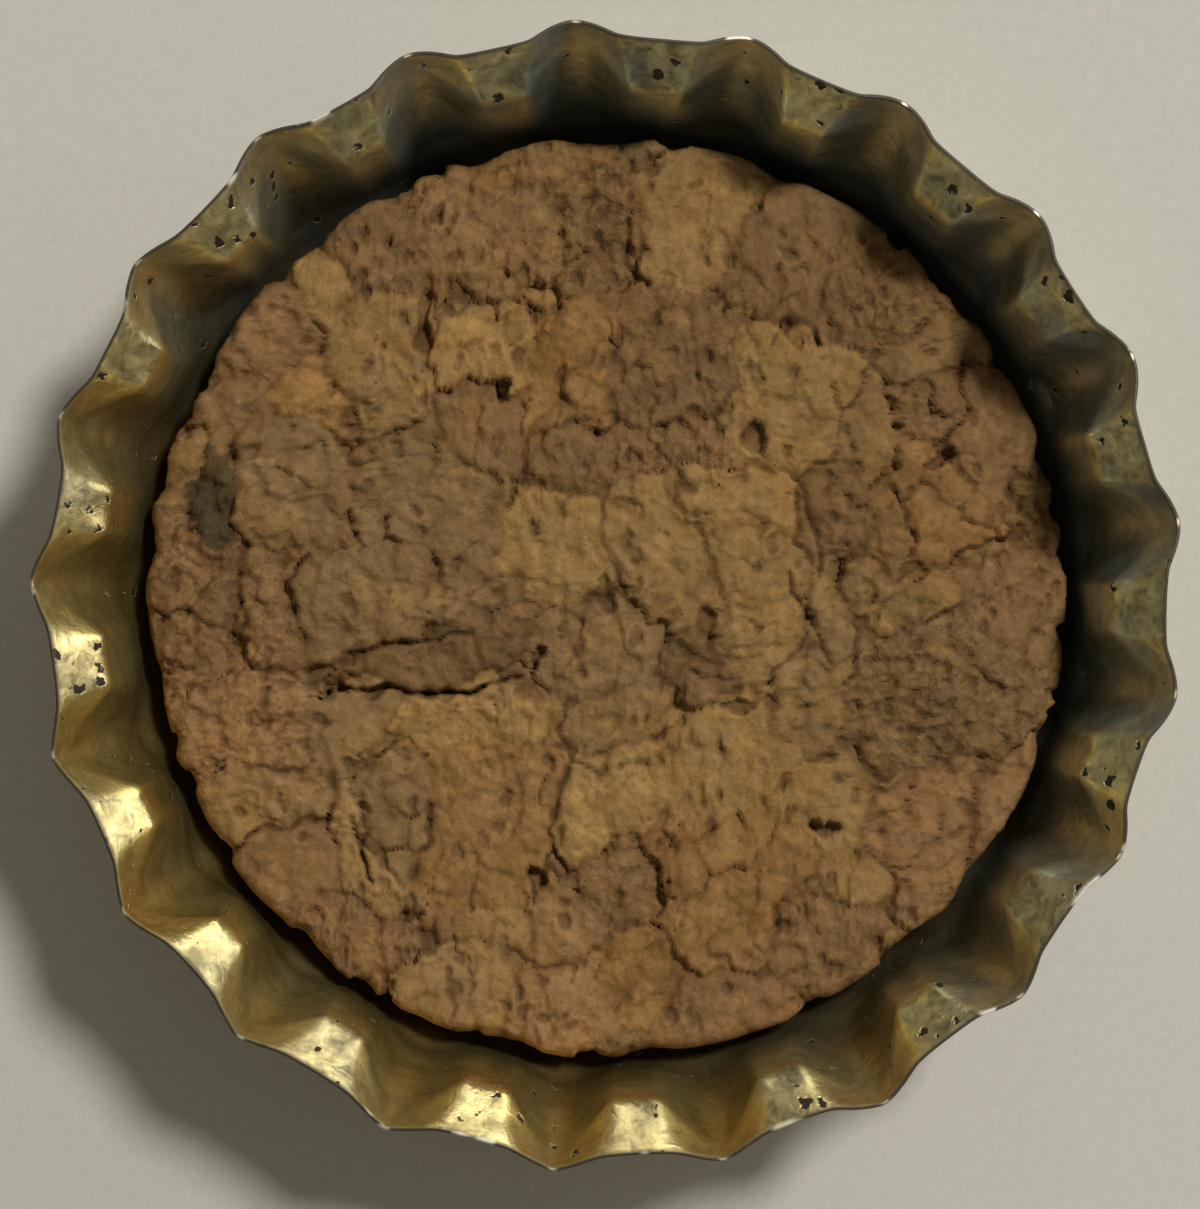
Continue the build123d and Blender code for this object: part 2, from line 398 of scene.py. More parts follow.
def shell_inside(sizes, columns, rows):
    """Points of the inside of the shell, from near the axis to the rim, and their polish."""
    random = np.random.default_rng(11)
    sheet = sizes.sheet / MM
    count = sizes.flutes
    turn = np.arange(columns) / columns * 2 * pi
    place = turn / (2 * pi) * count
    flute = np.floor(place + 0.5).astype(int) % count
    across = (place + 0.5) % 1 * 2 - 1                            # 0 on a ridge, 1 in a valley
    valley = np.floor(place).astype(int) % count
    tip_shift = random.uniform(-0.05, 0.05, count)                # uneven stamping
    tip_reach = random.uniform(-0.06, 0.05, count)
    width = random.uniform(-0.04, 0.04, count)
    # ridges on the side of -X and -Y are pointed at the rim, the others rounder
    point = 1.52 - 0.26 * np.cos(np.arange(count) / count * 2 * pi - radians(140))
    point = point + random.uniform(-0.06, 0.06, count)
    fold_height = random.uniform(-0.03, 0.04, count)
    valley_tilt = random.uniform(-0.05, 0.05, count)
    across = across + tip_shift[flute] * (1 - across**2)
    heights = np.linspace(0, 1, rows)[:, None]

    foot_height = sheet + SHOULDER_TURN * (1 - sin(RIDGE_LEAN))
    wall_foot = PANEL_RADIUS + SHOULDER_TURN * cos(WALL_LEAN)
    wall_foot_height = sheet + SHOULDER_TURN * (1 - sin(WALL_LEAN))
    off_valley = (1 - np.abs(across)) * pi / count
    # the rim lies on a cone; a first guess of its height is mended once its radius is known
    rim_height = np.full(columns, VALLEY_RIM[1])
    for _ in range(4):
        height = foot_height + (rim_height - foot_height) * heights
        wall = wall_foot + (height - wall_foot_height) * tan(WALL_LEAN)
        ridge = RIDGE_RIM[0] + tip_reach[flute] - (RIDGE_RIM[1] - height) * tan(RIDGE_LEAN)
        up = smooth((height - FLARE_START) / FLARE_RUN)
        lip_share = np.clip((height - LIP_START) / (VALLEY_RIM[1] - LIP_START), 0, 1)
        low_spread, high_spread = LOW_SPREAD + width[flute], HIGH_SPREAD + width[flute]
        low_wave = 0.5 * (1 + np.cos(pi * np.clip(np.abs(across) / low_spread, 0, 1)))
        rim_spread = RIM_SPREAD / RIM_FALL ** (1 / point[flute])
        high_spread = high_spread + (rim_spread - high_spread) * lip_share
        high_wave = 1 - (np.abs(across) / high_spread) ** point[flute]
        wave = low_wave**0.8 * (1 - up) + np.maximum(high_wave, 0) * up
        channel = wall + (ridge - wall) * wave
        lip = VALLEY_RIM[0] - (VALLEY_RIM[1] - height) * tan(LIP_LEAN) + fold_height[valley]
        curl = CURL * (np.clip(1 - np.abs(across), 0, 0.7) / 0.47) ** 2.2
        lip = lip + curl + valley_tilt[valley] * np.sign(across) * off_valley * 4
        # the inner corners of the lip are round
        corner = CORNER_DEPTH * (np.clip(1 - np.abs(across), 0, 0.5) / 0.3) ** 2.5
        lip = lip - corner * (1 - smooth((lip_share + 0.05) / 0.62))
        radius = blend_up(channel, lip, sizes.bend / MM)
        polished = smooth((lip - channel) / 0.14 + 0.65)
        rim_height = VALLEY_RIM[1] - (radius[-1] - VALLEY_RIM[0]) * RIM_RISE
    # below the foot of the ridges the wall is the round shoulder itself
    drop = np.clip(sheet + SHOULDER_TURN - height, 0, SHOULDER_TURN)
    shoulder = PANEL_RADIUS + np.sqrt(SHOULDER_TURN**2 - drop**2)
    grown = smooth((height - foot_height) / 0.9)
    radius = shoulder + (radius - shoulder) * grown
    # slight waviness of the sheet
    arc = turn * MEAN_RADIUS + 0 * height
    radius = radius + 0.02 * rough(arc, height, 2.2, 3, 21) * heights

    wall_points = np.stack((radius * -np.sin(turn), radius * np.cos(turn), height), axis=2)
    # shoulder and panel, from the axis out
    angles = np.linspace(0, pi / 2 - RIDGE_LEAN, 8)[:-1]
    base = [(PANEL_RADIUS * share, sheet) for share in (0.03, 0.3, 0.6, 0.85)]
    base += [(PANEL_RADIUS + SHOULDER_TURN * sin(a), sheet + SHOULDER_TURN * (1 - cos(a)))
             for a in angles]
    rings = [np.stack((r * -np.sin(turn), r * np.cos(turn), z + 0 * turn), axis=1) for r, z in base]
    polished = np.concatenate((np.zeros((len(rings), columns)), polished))
    return np.concatenate((np.array(rings), wall_points)), polished


def grid_normals(points):
    """Unit normals of a grid of points that closes round its second direction."""
    along = np.gradient(points, axis=0)
    round_ = np.roll(points, -1, axis=1) - np.roll(points, 1, axis=1)
    normal = np.cross(round_, along)
    return normal / np.linalg.norm(normal, axis=2, keepdims=True)


def build_shell(sizes):
    """The shell as one closed skin: inside, cut rim and outside."""
    columns = sizes.flutes * FLUTE_COLUMNS
    inside, polished = shell_inside(sizes, columns, WALL_ROWS)
    outward = grid_normals(inside)
    if outward[-1, 0] @ inside[-1, 0] < 0:
        outward = -outward
    sheet = sizes.sheet / MM
    # the sheet thins towards the cut edge
    run = np.linalg.norm(np.diff(inside, axis=0, append=inside[-1:]), axis=2)
    to_rim = run[::-1].cumsum(axis=0)[::-1]
    thickness = sheet * (THIN_SHARE + (1 - THIN_SHARE) * smooth(to_rim / THIN_RUN))
    outside = inside + outward * thickness[..., None]
    outside[..., 2] = np.maximum(outside[..., 2], 0)
    outwards = inside[-1] - inside[-2]
    outwards = outwards / np.linalg.norm(outwards, axis=1, keepdims=True)
    # the cut edge is slightly rounded: share of the way across it, and how far it stands out
    edge = [inside[-1] * (1 - share) + outside[-1] * share + outwards * proud
            for share, proud in ((0.15, 0.010), (0.5, 0.014), (0.85, 0.010))]
    skin = np.concatenate((inside, edge, outside[::-1]))
    middle_in = len(skin) * columns
    points = np.concatenate((skin.reshape(-1, 3), [[0, 0, sheet], [0, 0, 0]]))
    here = np.arange(middle_in).reshape(-1, columns)
    beside = np.roll(here, -1, axis=1)
    # every face is wound so that its normal points out of the sheet
    faces = np.stack((here[:-1], here[1:], beside[1:], beside[:-1]), axis=2).reshape(-1, 4).tolist()
    borders = np.stack((here[0], beside[0], here[-1], beside[-1]), axis=1)
    for a, b, c, d in borders.tolist():
        faces += [(middle_in, a, b), (middle_in + 1, d, c)]
    cut = np.zeros(len(points))
    first_cut = len(inside) * columns
    cut[first_cut - columns:first_cut + 3 * columns] = 1
    place = np.arange(columns) / columns * sizes.flutes
    near_tip = smooth(1.25 - np.abs((place + 0.5) % 1 - 0.5) * 2 / TIP_WIDTH)
    worn_tip = np.zeros(len(points))
    worn_tip[first_cut - columns:first_cut + 2 * columns] = np.tile(near_tip, 3)
    piece = mesh_object("crown_shell_skin", points, faces, lacquered_tinplate(sizes))
    piece.data.set_sharp_from_angle(angle=radians(38))
    add_values(piece.data, "cut_edge", cut)
    add_values(piece.data, "worn_tip", worn_tip)
    # painted fill light: a mask that grows towards +X and +Y, where the inside of the wall is turned
    # from the key
    toward = (points[:, 0] + points[:, 1]) / sqrt(2) / RIDGE_RIM[0]
    add_values(piece.data, "painted_fill_side", smooth(0.5 + 0.7 * toward))
    worn = np.full(len(points), 0.5)
    worn[:inside.shape[0] * columns] = polished.ravel()
    add_values(piece.data, "polished", worn)
    return piece


# ---------------------------- the cork

# browns of the granules
CORK_TINTS = {
    "grey": "#896a41", "tan": "#8e6d40", "yellow": "#977543", "red": "#8a673f",
    "orange": "#8e693b", "brown": "#84633b", "dark": "#6a4f2f", "olive": "#54462b",
}
# granules that stand out: place, half sizes and lean in millimetres and degrees, then
# their brown and how crumbly they are
GRANULES = [
    (-9.1, 3.5, 1.7, 1.7, 0, "grey", 0.1), (-5.2, 1.7, 1.9, 2.9, -15, "grey", 0.1),
    (-4.8, -1.5, 3.0, 0.8, 8, "brown", 0.1), (-4.2, -3.4, 2.7, 0.8, 6, "yellow", 0.1),
    (-7.0, -3.9, 1.4, 1.2, 0, "grey", 0.1), (-11.6, -0.7, 1.5, 2.1, 10, "red", 1.0),
    (-9.6, -0.4, 1.4, 1.7, 0, "red", 0.9), (-10.6, -3.4, 2.1, 1.3, -35, "red", 0.6),
    (-10.0, -5.9, 2.1, 1.2, 0, "tan", 0.1), (-9.1, -7.9, 1.9, 1.6, 20, "brown", 0.1),
    (-7.2, -7.3, 0.6, 2.1, 25, "tan", 0.1), (-5.9, -6.0, 1.2, 2.3, 15, "grey", 0.1),
    (-3.6, -6.7, 2.1, 2.9, -25, "orange", 0.0), (-0.2, -1.5, 1.6, 1.4, 0, "grey", 0.4),
    (0.1, -3.6, 1.4, 1.2, 0, "tan", 0.2), (0.1, -5.9, 1.9, 1.3, 15, "yellow", 0.3),
    (-1.35, 1.5, 1.5, 1.4, 0, "yellow", 0.2), (1.5, 1.5, 1.5, 1.8, 0, "yellow", 0.2),
    (3.8, 2.7, 1.8, 1.1, 0, "yellow", 0.1), (5.3, 5.6, 1.9, 1.8, -15, "yellow", 0.2),
    (7.6, 4.8, 0.9, 1.7, 0, "tan", 0.1), (9.0, 2.5, 1.7, 1.6, 0, "orange", 0.1),
    (6.7, 2.4, 1.0, 1.3, 0, "brown", 0.3), (9.3, 5.6, 1.5, 1.1, 0, "red", 0.6),
    (11.1, 4.8, 1.2, 1.7, 0, "red", 0.3), (9.1, 7.1, 1.2, 0.9, 0, "tan", 0.2),
    (11.7, 0.2, 1.7, 1.3, 0, "red", 0.5), (8.4, -0.1, 2.0, 0.8, 0, "yellow", 0.2),
    (4.4, -0.1, 1.1, 2.4, 15, "yellow", 0.2), (6.4, -1.8, 0.7, 2.7, -8, "tan", 0.1),
    (5.3, -2.9, 0.6, 1.8, -10, "tan", 0.3), (2.6, -0.3, 0.9, 1.3, 0, "tan", 0.4),
    (3.7, -4.5, 2.0, 1.7, 0, "yellow", 0.2), (6.1, -5.8, 1.3, 1.0, 0, "yellow", 0.2),
    (9.9, -2.7, 2.4, 2.4, 0, "grey", 1.0), (9.5, -6.8, 1.4, 2.4, -35, "red", 0.2),
    (11.4, -5.8, 0.9, 2.0, -30, "red", 0.4), (3.4, -8.7, 2.1, 2.3, 0, "orange", 0.1),
    (7.2, -8.2, 0.9, 0.9, 0, "tan", 0.1), (6.1, -9.8, 2.0, 1.4, 10, "brown", 0.5),
    (3.2, -11.8, 1.9, 1.2, 0, "red", 0.2), (0.9, -11.0, 1.6, 1.4, 0, "orange", 0.3),
    (-1.35, -12.0, 1.5, 1.1, 0, "red", 0.3), (-4.8, -11.5, 1.2, 1.3, 0, "tan", 0.2),
    (-3.3, -11.3, 0.7, 1.4, 15, "tan", 0.1), (-7.4, -9.7, 1.7, 1.1, -20, "red", 0.8),
    (-3.1, -9.4, 1.3, 0.8, 0, "tan", 0.2), (-1.3, -9.3, 1.0, 1.3, 0, "brown", 0.3),
    (0.3, -8.4, 1.3, 1.0, 0, "brown", 0.7), (-3.65, 7.1, 1.3, 1.4, 0, "yellow", 0.1),
    (-1.2, 6.6, 1.5, 1.8, 0, "orange", 0.2), (-6.5, 6.8, 1.1, 1.8, 0, "tan", 0.3),
    (-8.5, 5.9, 1.5, 0.6, -25, "orange", 0.0), (-9.8, 7.5, 1.4, 1.3, 0, "red", 0.4),
    (-8.2, 9.1, 0.6, 1.2, 20, "yellow", 0.1), (-6.7, 10.2, 1.6, 1.3, 0, "red", 0.4),
    (-3.5, 10.6, 2.3, 1.6, 0, "brown", 0.5), (-1.6, 12.3, 1.7, 0.9, 0, "orange", 0.4),
    (-0.1, 11.0, 1.3, 1.6, 0, "brown", 1.0), (2.6, 11.0, 1.9, 2.0, 0, "tan", 0.3),
    (5.4, 9.9, 2.3, 1.8, -20, "brown", 0.3), (1.7, 7.7, 1.8, 1.3, 0, "brown", 0.4),
    (1.8, 5.9, 1.7, 1.1, 0, "brown", 0.3), (1.5, 4.3, 2.0, 1.0, 0, "red", 0.9),
    (-1.1, 4.2, 1.4, 1.1, 0, "brown", 0.7), (-3.6, 4.6, 1.3, 1.4, 0, "brown", 0.3),
    (7.7, 8.3, 1.9, 1.0, -25, "brown", 0.9), (-11.5, 2.7, 0.42, 1.4, 0, "olive", 1.0),
    (-12.4, 4.3, 0.7, 1.1, 0, "tan", 0.2), (-12.5, 2.2, 0.6, 0.9, 0, "red", 0.1),
    (-8.0, -0.3, 1.3, 1.5, 0, "grey", 0.3), (-11.0, 5.3, 1.1, 0.9, 30, "brown", 0.4),
]
# open cracks: points along each, half width and depth
CRACKS = [
    ([(-8.1, -2.9), (-7.6, -2.6), (-6.5, -2.65), (-5.2, -2.75), (-4.3, -2.8), (-3.4, -2.5),
      (-2.6, -2.3)], 0.07, 0.45),
    ([(-5.3, -2.74), (-4.4, -2.8), (-3.6, -2.6)], 0.10, 0.55),
    ([(-7.5, -1.7), (-6.6, -1.4), (-5.0, -1.2), (-3.9, -1.1)], 0.07, 0.35),
    ([(-7.4, -6.3), (-7.1, -7.0), (-6.7, -8.2)], 0.08, 0.4),
    ([(-1.1, -3.0), (-1.4, -3.8), (-1.0, -4.7), (-0.2, -5.0)], 0.06, 0.2),
    ([(8.9, 1.6), (8.2, 3.1)], 0.06, 0.3), ([(5.6, 3.2), (6.1, 1.6), (6.2, 0.6)], 0.06, 0.3),
    ([(5.2, 0.6), (6.0, -1.0), (6.5, -2.0)], 0.07, 0.35),
    ([(-2.3, -7.9), (-2.1, -8.9)], 0.07, 0.35), ([(0.6, 10.9), (0.5, 9.6), (1.2, 8.9)], 0.07, 0.3),
]
# holes and dark hollows: place, half sizes, lean, depth
HOLLOWS = [
    (-7.9, -2.7, 0.38, 0.24, 30, 0.6), (-6.6, -2.6, 0.33, 0.24, 30, 0.5),
    (-2.1, -1.75, 0.14, 0.42, -25, 0.5), (-3.0, 6.05, 0.22, 0.34, -35, 0.6),
    (-5.3, 7.7, 0.32, 0.9, 5, 0.35), (4.4, 4.6, 0.36, 0.5, 0, 0.45),
    (9.7, 3.9, 0.45, 0.28, 20, 0.5), (6.1, -6.7, 0.55, 0.2, 5, 0.6),
    (-2.0, -7.85, 0.35, 0.35, 0, 0.6), (3.9, -3.2, 0.5, 0.2, -10, 0.3),
    (8.6, 0.75, 0.8, 0.2, 8, 0.25), (0.0, -0.0, 0.25, 0.35, 0, 0.3),
    (2.9, -0.9, 0.3, 0.4, 0, 0.3), (-4.9, 11.0, 0.2, 0.5, -20, 0.3),
]


SQUARENESS = 2.4                # the granules are ovals at 2 and boxes at a high number
SPLIT_WIDTH, CRUMB_WIDTH = 1.15, 0.56   # sizes of the pieces and crumbs of a granule
DISC_REACH = 13.3               # loose granules are scattered out to here
LOOSE_TRIES, LOOSE_SIZES = 2600, (0.35, 0.95)   # how many are tried, and their half widths
# growth bands: where their pattern starts, its turn, and how far it is drawn out each way
BAND_ORIGIN, BAND_TURN, BAND_LENGTH, BAND_WIDTH = (-4.9, 11.0), radians(-20), 0.9, 0.5
WORN_SIDE, WORN_DEPTH, WORN_FROM = radians(26), 0.55, 11.3  # where the border is worn lower
EDGE_ROUND, FOOT_ROUND = 0.45, 1.25     # rounds of the disc's upper and lower edges
CORK_SETTLED = 0.03             # the mean level of the top is this far below the plain disc's
SIDE_DIRT, SIDE_CRUMBLE = 0.2, 0.6      # dirt and crumbliness all over the side and bottom


def place_granules(random):
    """The named granules, with smaller ones wherever they leave room."""
    rows = [list(entry[:5]) + [linear_colour(CORK_TINTS[entry[5]])[:3], entry[6]]
            for entry in GRANULES]
    names = ["grey", "tan", "yellow", "red", "orange", "brown", "brown", "red"]
    for _ in range(LOOSE_TRIES):
        reach, angle = DISC_REACH * np.sqrt(random.uniform()), random.uniform(0, 2 * pi)
        x, y = reach * cos(angle), reach * sin(angle)
        size = random.uniform(*LOOSE_SIZES)
        room = min(np.hypot((x - r[0]) / (r[2] + size * 0.8), (y - r[1]) / (r[3] + size * 0.8))
                   for r in rows)
        if room > 0.98:
            tint = linear_colour(CORK_TINTS[names[random.integers(len(names))]])[:3]
            rows.append([x, y, size, size * random.uniform(0.6, 1.1),
                         random.uniform(0, 180), tint, random.uniform(0.1, 0.9)])
    return rows


def granule_field(x, y, sizes):
    """Which granule each point lies in, and its distance in millimetres to the next one."""
    random = np.random.default_rng(sizes.seed)
    rows = place_granules(random)
    ragged_x = x + 0.36 * rough(x, y, 1.5, 4, 31) + 0.11 * rough(x, y, 0.45, 3, 36)
    ragged_y = y + 0.36 * rough(x, y, 1.5, 4, 41) + 0.11 * rough(x, y, 0.45, 3, 46)
    nearest, second, third = (np.full(x.shape, np.inf) for _ in range(3))
    owner = np.zeros(x.shape, int)
    rival = np.zeros(x.shape, int)
    for number, (cx, cy, a, b, lean, _, _) in enumerate(rows):
        u, v = seen_turned(ragged_x - cx, ragged_y - cy, radians(lean))
        away = (np.abs(u / a) ** SQUARENESS + np.abs(v / b) ** SQUARENESS) ** (1 / SQUARENESS)
        closer = away < nearest
        next_ = ~closer & (away < second)
        third = np.where(closer | next_, second, np.minimum(third, away))
        second = np.where(closer, nearest, np.where(next_, away, second))
        rival = np.where(closer, owner, np.where(next_, number, rival))
        nearest = np.where(closer, away, nearest)
        owner = np.where(closer, number, owner)
    spans = np.array([2 / (1 / r[2] + 1 / r[3]) for r in rows])
    gap = (second - nearest) / (1 / spans[owner] + 1 / spans[rival])
    corner = (third - nearest) / 2 * spans[owner]
    return rows, owner, rival, gap, corner, random


def line_distance(x, y, points):
    """Distance from each place to a line of points."""
    best = np.full(x.shape, np.inf)
    for (ax, ay), (bx, by) in zip(points, points[1:]):
        length = (bx - ax) ** 2 + (by - ay) ** 2
        share = np.clip(((x - ax) * (bx - ax) + (y - ay) * (by - ay)) / length, 0, 1)
        best = np.minimum(best, np.hypot(x - ax - share * (bx - ax), y - ay - share * (by - ay)))
    return best


def broken_field(x, y, cell, seed):
    """Cells of a jittered grid: each point's cell, its distance to the edge and its place in it.

    The last array holds six numbers from -1 to 1 for each cell.
    """
    random = np.random.default_rng(seed)
    side = 64
    jitter = random.uniform(0.08, 0.92, (2, side, side))
    u, v = x / cell + 30, y / cell + 30
    column, row = np.floor(u).astype(int), np.floor(v).astype(int)
    nearest, second = np.full(x.shape, np.inf), np.full(x.shape, np.inf)
    owner = np.zeros(x.shape, int)
    off_x, off_y = np.zeros(x.shape), np.zeros(x.shape)
    for i in (-1, 0, 1):
        for j in (-1, 0, 1):
            c, r = (column + i) % side, (row + j) % side
            from_x = u - column - i - jitter[0, r, c]
            from_y = v - row - j - jitter[1, r, c]
            away = np.hypot(from_x, from_y)
            closer = away < nearest
            off_x, off_y = np.where(closer, from_x, off_x), np.where(closer, from_y, off_y)
            second = np.where(closer, nearest, np.minimum(second, away))
            owner = np.where(closer, r * side + c, owner)
            nearest = np.where(closer, away, nearest)
    luck = random.uniform(-1, 1, (6, side * side))
    return owner, (second - nearest) / 2 * cell, off_x * cell, off_y * cell, luck


def cork_surface(x, y, sizes):
    """Relief, colour, dirt with painted shade, crumbliness and band pattern of the top of the cork.

    Every size is in millimetres. The last numbers of each call of rough are the size of its
    largest patches, how many sizes it adds, and its seed; those of patchy are size and seed.
    """
    rows, owner, rival, gap, corner, random = granule_field(x, y, sizes)
    count = len(rows)
    raised = random.normal(0, 0.07, count)
    lean_x, lean_y = random.normal(0, 0.05, (2, count))
    brightness = random.normal(0.86, 0.08, count)
    centres = np.array([r[:2] for r in rows])
    tints = np.array([r[5] for r in rows])
    crumbly = np.array([r[6] for r in rows])[owner]
    pair = np.minimum(owner, rival) * 7919 + np.maximum(owner, rival) * 104729
    openness = ((pair % 997) / 997) ** 3.0
    openness = np.clip(openness * (0.8 + 1.3 * rough(x, y, 0.8, 2, 51)) + 0.10, 0.04, 1)
    width = 0.035 + 0.045 * openness
    joint = np.exp(-((gap / width) ** 2)) * openness
    in_x, in_y = x - centres[owner, 0], y - centres[owner, 1]
    height = raised[owner] + lean_x[owner] * in_x + lean_y[owner] * in_y
    height = np.clip(height, -0.18, 0.14)
    height -= 0.05 * (1 - smooth(gap / 0.45))
    height -= sizes.groove / MM * joint
    # flakes and crumbs break up each granule
    turned = random.uniform(0, pi, count)
    u, v = seen_turned(in_x, in_y, turned[owner])
    u, v = u + 3.7 * owner, v + 0.3 * rough(x, y, 1.2, 2, 57)
    flakes = rough(u / 2.6, v, 0.55, 3, 65)
    crumbs = rough(x, y, 0.62, 3, 61)
    pitted = smooth((0.10 - np.abs(crumbs)) / 0.10) * smooth((crumbly - 0.25) / 0.5)
    # rounded crumbs with creases between them
    coarse = patchy(x + 0.15 * rough(x, y, 0.5, 2, 201), y + 0.15 * rough(x, y, 0.5, 2, 203),
                    0.85, 63)
    fine = patchy(x + 0.1 * coarse, y, 0.42, 64)
    loose = 0.30 + 0.70 * crumbly
    height += loose * (0.12 * np.abs(coarse) ** 0.8 + 0.05 * np.abs(fine) ** 0.8 - 0.06)
    creased = loose * np.maximum(smooth(1 - np.abs(coarse) / 0.10),
                                 0.7 * smooth(1 - np.abs(fine) / 0.14))
    height += 0.035 * flakes + 0.05 * (0.45 + crumbly) * crumbs - 0.06 * pitted
    height += 0.030 * rough(x, y, 0.34, 2, 71) + 0.035 * rough(x, y, 2.5, 2, 81)
    # chips broken out here and there
    chips = rough(x, y, 1.0, 3, 151)
    chipped = smooth((chips - 0.62) / 0.10)
    height -= 0.09 * chipped
    # the larger granules are themselves split into pieces about a millimetre wide
    bent_x, bent_y = x + 0.22 * rough(x, y, 0.8, 3, 131), y + 0.22 * rough(x, y, 0.8, 3, 135)
    bent_x, bent_y = bent_x + 0.5 * owner, bent_y - 0.37 * owner
    piece, split, off_x, off_y, luck = broken_field(bent_x, bent_y, SPLIT_WIDTH, 141)
    splitting = random.uniform(0.15, 1.0, count)[owner] ** 1.3
    tilt = luck[1, piece] * off_x + luck[4, piece] * off_y
    height += splitting * (0.05 * luck[0, piece] + 0.21 * tilt)
    # crumbs half a millimetre wide, flat and tipped, some of them fallen out
    bent_x, bent_y = x + 0.10 * rough(x, y, 0.4, 2, 231), y + 0.10 * rough(x, y, 0.4, 2, 235)
    crumb, _, crumb_x, crumb_y, fate = broken_field(bent_x, bent_y, CRUMB_WIDTH, 241)
    tilt = fate[1, crumb] * crumb_x + fate[4, crumb] * crumb_y
    height += (0.35 + 0.65 * crumbly) * (0.035 * fate[0, crumb] + 0.24 * tilt)
    fallen = smooth((fate[2, crumb] - 0.78 + 0.62 * crumbly) / 0.1)
    ragged = 1 + 0.7 * rough(x, y, 0.25, 2, 251)
    pit = fallen * smooth((0.17 - np.hypot(crumb_x, 0.7 * crumb_y) * ragged) / 0.09)
    height -= 0.15 * pit
    seam = np.exp(-((split / 0.04) ** 2)) * np.clip(0.5 + 0.6 * luck[2, piece], 0, 1) * splitting
    height -= 0.09 * seam
    # gaps are left where three granules meet
    size = 0.05 + 0.17 * np.clip(rough(x, y, 1.7, 2, 191), 0, 1)
    corner = corner * (1 + 0.5 * rough(x, y, 0.35, 2, 195))
    empty = smooth((size - corner) / 0.10)
    height -= 0.16 * empty
    steps = np.abs(patchy(u / 2.2, v, 0.9, 67))
    height -= 0.05 * (1 - smooth(steps / 0.06))
    # each place is as dark as the darkest of these makes it: dirt, and painted shade in joints,
    # creases, pits, gaps, steps and chip edges
    dirt_and_shade = np.maximum.reduce((
        np.clip(joint * 0.95, 0, 0.75), 0.35 * pitted, 0.22 * (1 - smooth(steps / 0.05)),
        0.5 * seam, 0.6 * empty, 0.15 * creased, 0.5 * pit, 1.2 * chipped * (1 - chipped)))
    jitter_x, jitter_y = 0.10 * rough(x, y, 0.6, 3, 91), 0.10 * rough(x, y, 0.6, 3, 95)
    # the cracks and hollows darken too: dirt, and painted shade in them
    for points, half, depth in CRACKS:
        away = line_distance(x + jitter_x, y + jitter_y, points)
        thin = half * (0.62 + 0.5 * rough(x, y, 0.7, 2, 161))
        open_ = np.exp(-((away / np.maximum(thin, 0.06)) ** 2))
        height -= 0.6 * depth * open_
        dirt_and_shade = np.maximum(dirt_and_shade, np.clip(1.1 * open_, 0, 0.85))
    for cx, cy, a, b, lean, depth in HOLLOWS:
        from_x, from_y = x + 2.4 * jitter_x - cx, y + 2.4 * jitter_y - cy
        across, down = seen_turned(from_x, from_y, radians(lean))
        inside = smooth((1.15 - np.hypot(across / a, down / b)) / 0.35)
        height -= 0.8 * depth * inside
        dirt_and_shade = np.maximum(dirt_and_shade, (0.60 + 0.25 * rough(x, y, 0.4, 2, 171)) * inside)
    shade = brightness[owner] * (1 + 0.06 * rough(x, y, 1.1, 3, 101))
    shade *= 1 + 0.10 * splitting * luck[3, piece]
    # brown resin shows beside the joints
    halo = np.exp(-((gap / 0.17) ** 2)) * np.clip(0.55 + 0.8 * rough(x, y, 0.7, 3, 181), 0, 1)
    seam_halo = np.exp(-((split / 0.11) ** 2)) * splitting
    halo = np.maximum(halo, seam_halo * np.clip(0.4 + 0.8 * rough(x, y, 0.6, 2, 185), 0, 1))
    stain = 1 - halo[:, None] * np.array([0.28, 0.34, 0.42])
    warm = rough(x, y, 0.9, 3, 211)[:, None]
    stain = stain * (1 + warm * np.array([0.03, 0.0, -0.08]))
    colour = np.concatenate((tints[owner] * shade[:, None] * stain, np.ones((len(x), 1))), axis=1)
    band_x, band_y = seen_turned(x + 2.4 * jitter_x - BAND_ORIGIN[0],
                                 y + 2.4 * jitter_y - BAND_ORIGIN[1], BAND_TURN)
    grain_place = np.stack((band_x / BAND_LENGTH, band_y / BAND_WIDTH, crumbly), axis=1) * MM
    return height, colour, dirt_and_shade, crumbly, grain_place


def disc_points(squares):
    """A square grid drawn out to a disc of radius 1, and its faces and border, in order."""
    line = np.linspace(-1, 1, squares + 1)
    s, t = np.meshgrid(line, line)
    s, t = s.ravel(), t.ravel()
    wide = np.abs(s) > np.abs(t)
    major = np.where(wide, s, t)
    minor = np.where(wide, t, s)
    share = np.divide(minor, major, out=np.zeros_like(major), where=major != 0)
    angle = np.where(wide, pi / 4 * share, pi / 2 - pi / 4 * share)
    x, y = major * np.cos(angle), major * np.sin(angle)
    side = squares + 1
    faces = [(row * side + col, row * side + col + 1, (row + 1) * side + col + 1,
              (row + 1) * side + col) for row in range(squares) for col in range(squares)]
    border = list(range(squares))
    border += [row * side + squares for row in range(squares)]
    border += [squares * side + col for col in range(squares, 0, -1)]
    border += [row * side for row in range(squares, 0, -1)]
    return x, y, faces, border


